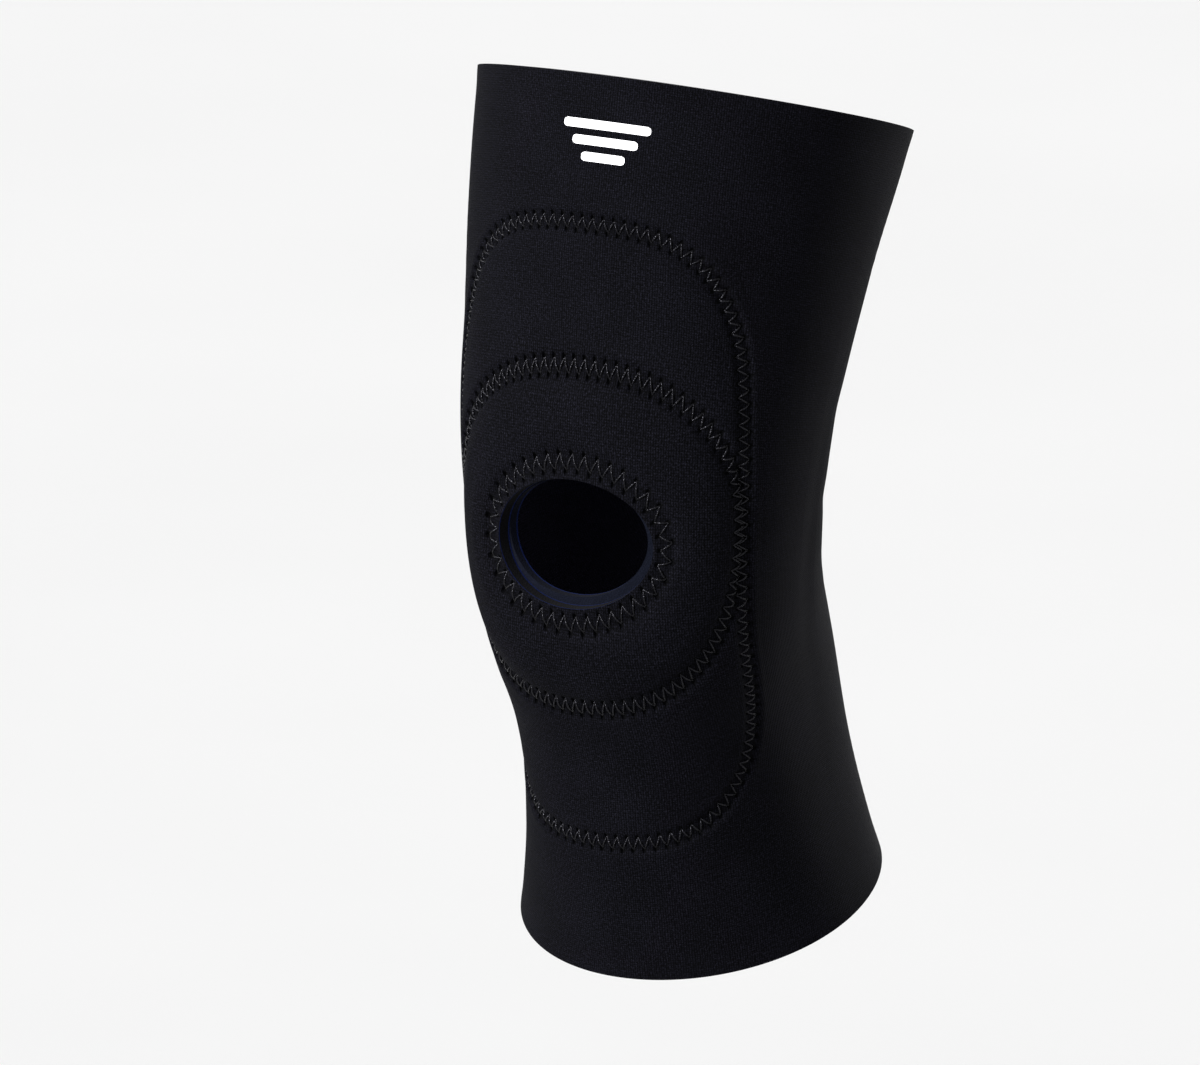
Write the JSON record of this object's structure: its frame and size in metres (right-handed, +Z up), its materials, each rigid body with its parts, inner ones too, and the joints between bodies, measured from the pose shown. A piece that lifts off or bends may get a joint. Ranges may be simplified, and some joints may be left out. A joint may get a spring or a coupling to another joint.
{
  "type": "knee brace",
  "caption": "Pull-on elastic knee sleeve with an open kneecap, a stitched front support panel and a soft ring pad around the opening.",
  "frame": {"origin": "middle of the knee, on the leg's centre line, level with the middle of the kneecap opening", "axes": "+Z up along the leg, front of the knee faces -Y, X runs across the leg; the thigh and the shin both lean back towards +Y"},
  "size_m": [0.1492, 0.155, 0.315],
  "materials": {
    "black_knit": "matte fine jersey with a soft sheen",
    "lining_knit": "matte brushed knit",
    "foam": "closed-cell foam, matte",
    "thread": "twisted polyester, glossy",
    "felt_pad": "soft felt",
    "tape": "woven, matte",
    "label": "satin woven",
    "white_print": "matte heat-transfer film"
  },
  "bodies": {
    "thigh": {"thigh_core": "foam", "care_label": "label", "label_stitch": "thread", "printed_mark": "white_print"},
    "knee": {"face_fabric": "black_knit", "upper_bend_core": "foam", "knee_core": "foam", "lower_bend_core": "foam", "lining_fabric": "lining_knit", "support_panel": "foam", "panel_knit": "lining_knit", "ring_buttress": "felt_pad", "panel_stitch": "thread", "ring_stitch": "thread", "opening_stitch": "thread", "panel_bobbin_thread": "thread", "ring_bobbin_thread": "thread", "opening_bobbin_thread": "thread", "rear_seam_stitch": "thread", "rear_seam_bobbin_thread": "thread", "rear_seam_tape": "tape"},
    "shin": {"shin_core": "foam"}
  },
  "joints": [
    {"name": "upper_knee_bend", "type": "hinge", "parent": "thigh", "child": "knee", "pos_m": [0, 0.007, 0.0474], "axis": [1, 0, 0], "range_deg": [-17, 40], "stiffness_Nm_per_rad": 1.2, "deforming": ["face_fabric", "lining_fabric", "support_panel", "panel_knit", "panel_stitch", "panel_bobbin_thread", "ring_stitch", "ring_bobbin_thread", "rear_seam_stitch", "rear_seam_bobbin_thread", "rear_seam_tape", "upper_bend_core", "lower_bend_core"]},
    {"name": "lower_knee_bend", "type": "hinge", "parent": "knee", "child": "shin", "pos_m": [0, 0.007, -0.0473], "axis": [1, 0, 0], "range_deg": [-17, 40], "stiffness_Nm_per_rad": 1.2, "deforming": ["face_fabric", "lining_fabric", "support_panel", "panel_knit", "panel_stitch", "panel_bobbin_thread", "ring_stitch", "ring_bobbin_thread", "rear_seam_stitch", "rear_seam_bobbin_thread", "rear_seam_tape", "upper_bend_core", "lower_bend_core"]}
  ],
  "couplings": [
    {"joint": "lower_knee_bend", "follows": "upper_knee_bend", "ratio": 1}
  ]
}
